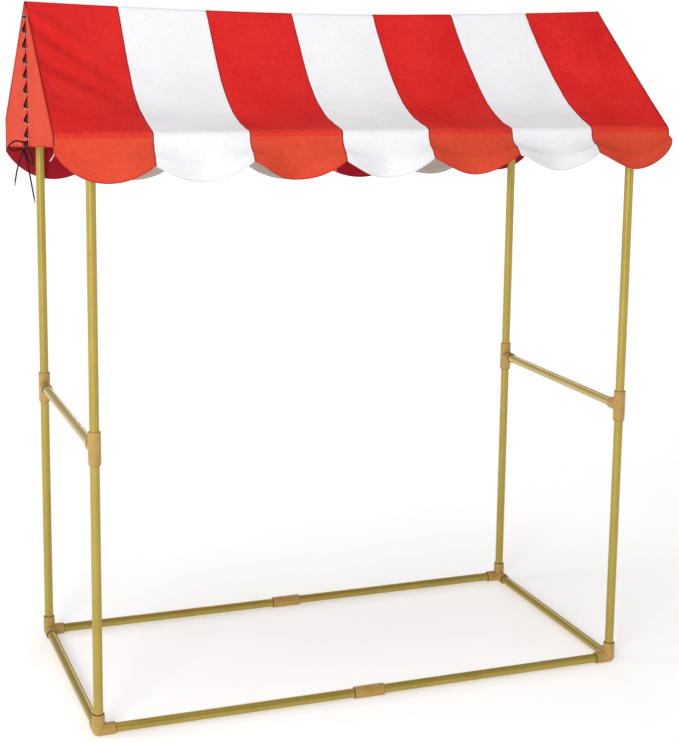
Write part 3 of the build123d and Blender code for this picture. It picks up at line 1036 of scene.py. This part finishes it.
# ---------------------------------------------------------------- lace, bow and ties
LACE_GAP = 0.0003
out_x = eyelet_lo.x - LACE_D / 2 - LACE_GAP
in_x = eyelet_hi.x + LACE_D / 2 + LACE_GAP
cross_x = -half - 0.0040
KNOT_R = (0.005, 0.008, 0.0065)
KNOT_DROP = 0.012
knot = Vector((-half - KNOT_R[0] - 0.0003, 0, float(row_z[-1]) - KNOT_DROP))
CROSS_Y = 0.0062  # from the slit's middle to where a strand passes an edge of the slit
CROSS_RISE = 0.0026  # how much higher one strand of a crossing passes than the other, halved
CROSS_LIFT = 0.0012  # how far a strand stands out where it passes over the slit
TOP_RISE = 0.0015  # of the first stretch, over the top pair of eyelets
KNOT_ENTRY = (0.002, 0.0025, 0.001)  # where a strand goes into the knot, from its centre


def strand(side):
    """The points of one half of the lace, from its first eyelet to the knot."""
    points = []
    for k, z in enumerate(float(v) for v in row_z):
        points += [(out_x, side * eyelet_y, z), (in_x, side * eyelet_y, z)]
        if k == EYELET_ROWS - 1:
            break
        below = float(row_z[k + 1])
        centre = (z + below) / 2 + side * CROSS_RISE
        share = (eyelet_y - CROSS_Y) / eyelet_y
        inside_z = z + (centre - z) * share
        outside_z = below + (centre - below) * share
        points += [(in_x, side * CROSS_Y, inside_z), (cross_x - CROSS_LIFT, -side * CROSS_Y, outside_z)]
        side = -side
    points += [(in_x, side * CROSS_Y * 0.8, z - KNOT_DROP / 2)]
    return points + [(knot.x + KNOT_ENTRY[0], side * KNOT_ENTRY[1], knot.z + KNOT_ENTRY[2])]


top = (out_x - CROSS_LIFT, 0, float(row_z[0]) + TOP_RISE)
route = strand(-1)[::-1] + [top] + strand(1)
lace = nurbs_cord("lace_laced", route, LACE_D, black_lace)
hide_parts("lace")
KNOT_STEPS = 48
KNOT_TURN = (0.0022, 0.0019, 0.0015)  # the size of the knot's trefoil along x, y and z
turns = [2 * math.pi * k / KNOT_STEPS for k in range(KNOT_STEPS)]
tied = [
    knot
    + Vector(
        (
            KNOT_TURN[0] * math.sin(3 * a),
            KNOT_TURN[1] * (math.sin(a) + 2 * math.sin(2 * a)),
            KNOT_TURN[2] * (math.cos(a) - 2 * math.cos(2 * a)),
        )
    )
    for a in turns
]
bow_knot = line_piece("bow_knot", [tied], LACE_D / 2, black_lace, closed=True, sides=4)
on_canopy(lace, bow_knot)

OUTER_LOOP = [
    (-3.0, 1.5, 2.0),
    (-13.0, 4.0, 6.5),
    (-25.0, 7.0, 2.5),
    (-32.5, 9.0, -7.0),
    (-26.0, 8.5, -15.0),
    (-14.5, 5.5, -13.5),
    (-6.0, 2.0, -9.5),
    (-4.0, 2.5, -19.0),
    (-9.5, 5.0, -33.0),
    (-16.5, 7.5, -53.0),
    (-20.5, 9.0, -82.0),
]
INNER_LOOP = [
    (-3.0, -2.0, 1.0),
    (-2.5, -14.0, 1.5),
    (0.0, -28.0, -5.5),
    (4.5, -41.0, -18.0),
    (8.0, -51.0, -32.0),
    (6.0, -48.5, -41.0),
    (2.5, -36.0, -37.5),
    (-0.5, -21.0, -24.0),
    (-1.5, -6.0, -11.5),
    (-2.5, 4.0, -9.0),
    (-1.0, 7.0, -17.0),
    (2.0, 3.5, -30.0),
    (5.0, -2.0, -47.0),
    (7.0, -10.5, -65.0),
    (8.6, -25.0, -87.0),
    (9.4, -46.0, -112.0),
]
CORNER_TIE = [
    (0.0, 0.5, 11.0),
    (0.1, 0.0, -1.0),
    (-1.6, -1.0, -12.0),
    (-6.2, -1.8, -20.5),
    (-11.0, -2.2, -26.0),
]
FRONT_TIE = [
    (-0.4, 0.0, 42.0),
    (0.7, 0.1, 22.0),
    (-0.8, 0.0, 1.0),
    (0.4, 0.2, -22.0),
]
MM = 0.001


def aglet(name, last, before):
    """The crimped tip of a lace."""
    along = (last - before).normalized()
    profile = [(0.0, 1.02), (0.4, 1.10), (1.2, 1.04), (6.5, 1.0), (8.2, 0.92), (9.0, 0.55), (9.3, 0.0)]
    turn = along.to_track_quat("Z", "Y").to_matrix()
    points, count = [], 14
    base = last - along * 6 * MM
    for height, width in profile:
        for k in range(count):
            angle = 2 * math.pi * k / count
            r = LACE_D / 2 * width * 1.02
            points.append(base + turn @ Vector((r * math.cos(angle), r * math.sin(angle), height * MM)))
    faces = []
    for r in range(len(profile) - 1):
        for k in range(count):
            n = (k + 1) % count
            faces.append((r * count + k, r * count + n, (r + 1) * count + n, (r + 1) * count + k))
    return mesh_piece(name, points, faces, [grey_aglet])


def free_cord(name, node, start, offsets, diameter, material, slot, length, tip):
    points = [start + Vector(p) * MM for p in offsets]
    cord = nurbs_cord(name, points, diameter, material)
    pieces = []
    if tip:
        pieces = [aglet(f"{name}_aglet", points[-1], points[-2])]
        on_canopy(*pieces)
    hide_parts(node)
    on_canopy(cord)


corner_seam = Vector((-half + 4.4 * MM, eave_y - 9.5 * MM, hem_z))
stripe_seam = Vector((-half + 3 * stripe, eave_y - 11.4 * MM, cusp_z))
bow_end = (LACE_D, black_lace, "lace")
free_cord("bow_outer_end", "lace_end_outer", knot, OUTER_LOOP, *bow_end, 0.137, True)
free_cord("bow_inner_end", "lace_end_inner", knot, INNER_LOOP, *bow_end, 0.250, True)
corner_cord = (CORNER_TIE_D, tie_thread, "tie")
free_cord("tie_corner", "corner_tie", corner_seam, CORNER_TIE, *corner_cord, 0.040, False)
front_cord = (FRONT_TIE_D, tie_thread, "tie")
free_cord("tie_front", "front_tie", stripe_seam, FRONT_TIE, *front_cord, 0.064, False)


# ---------------------------------------------------------------- the carried-over frame
MATERIAL_OF = {"tube": gold_tube, "fitting": moulded_fitting, "eyelet": nickel}
for part in frame["record"]["subparts"]:
    material = MATERIAL_OF.get(part["material_slot"])
    if material:
        node = frame["nodes"][part["node"]]
        # Painted light: the side bars get the paler copy of the gold tube.
        if part["node"].startswith("side_bar"):
            material = lit_side_bar_tube
        for material_slot in node.material_slots:
            material_slot.material = material

# ---------------------------------------------------------------- shadow gaps at the sockets
GAP_R = 0.0009
GAP_SIDES = 40
RIM_OUT = 0.0001


def touches(lo, hi, point):
    """Whether a point lies on or in a box, with a little slack."""
    slack = 0.001
    return all(a - slack <= p <= b + slack for a, b, p in zip(lo, hi, point))


def socket_rims(fitting, tubes):
    """(centre, axis) of each place where a tube goes into a fitting's socket."""
    lo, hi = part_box(fitting)
    rims = []
    for tube in tubes:
        tube_lo, tube_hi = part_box(tube)
        size = tube_hi - tube_lo
        axis = max(range(3), key=lambda i: size[i])
        if sorted(size)[1] > 2.6 * tube_r:
            continue
        for face, sign in ((lo[axis], -1), (hi[axis], 1)):
            centre = (tube_lo + tube_hi) / 2
            if not tube_lo[axis] + 0.002 < face < tube_hi[axis] - 0.002:
                continue
            centre[axis] = face + sign * RIM_OUT
            if touches(lo, hi, centre):
                rims.append((centre, axis))
    return rims


def make_socket_gaps():
    """Dark rings of painted shade in the gaps between the tubes and the rims of their sockets, one piece
    per body.
    """
    slots = {part["node"]: part["material_slot"] for part in frame["record"]["subparts"]}
    for body, nodes in frame["record"]["behaviour"]["bodies"].items():
        fittings = [n for n in nodes if slots[n] == "fitting"]
        tubes = [n for n in nodes if slots[n] == "tube"]
        rings = []
        for fitting in fittings:
            for centre, axis in socket_rims(fitting, tubes):
                ring = []
                for k in range(GAP_SIDES):
                    angle = 2 * math.pi * k / GAP_SIDES
                    spot = centre.copy()
                    spot[(axis + 1) % 3] += (tube_r + GAP_R * 0.3) * math.cos(angle)
                    spot[(axis + 2) % 3] += (tube_r + GAP_R * 0.3) * math.sin(angle)
                    ring.append(spot)
                rings.append(ring)
        if rings:
            gaps = line_piece(f"socket_gaps_{body}", rings, GAP_R, socket_shadow, closed=True)
            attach(gaps, body)


make_socket_gaps()
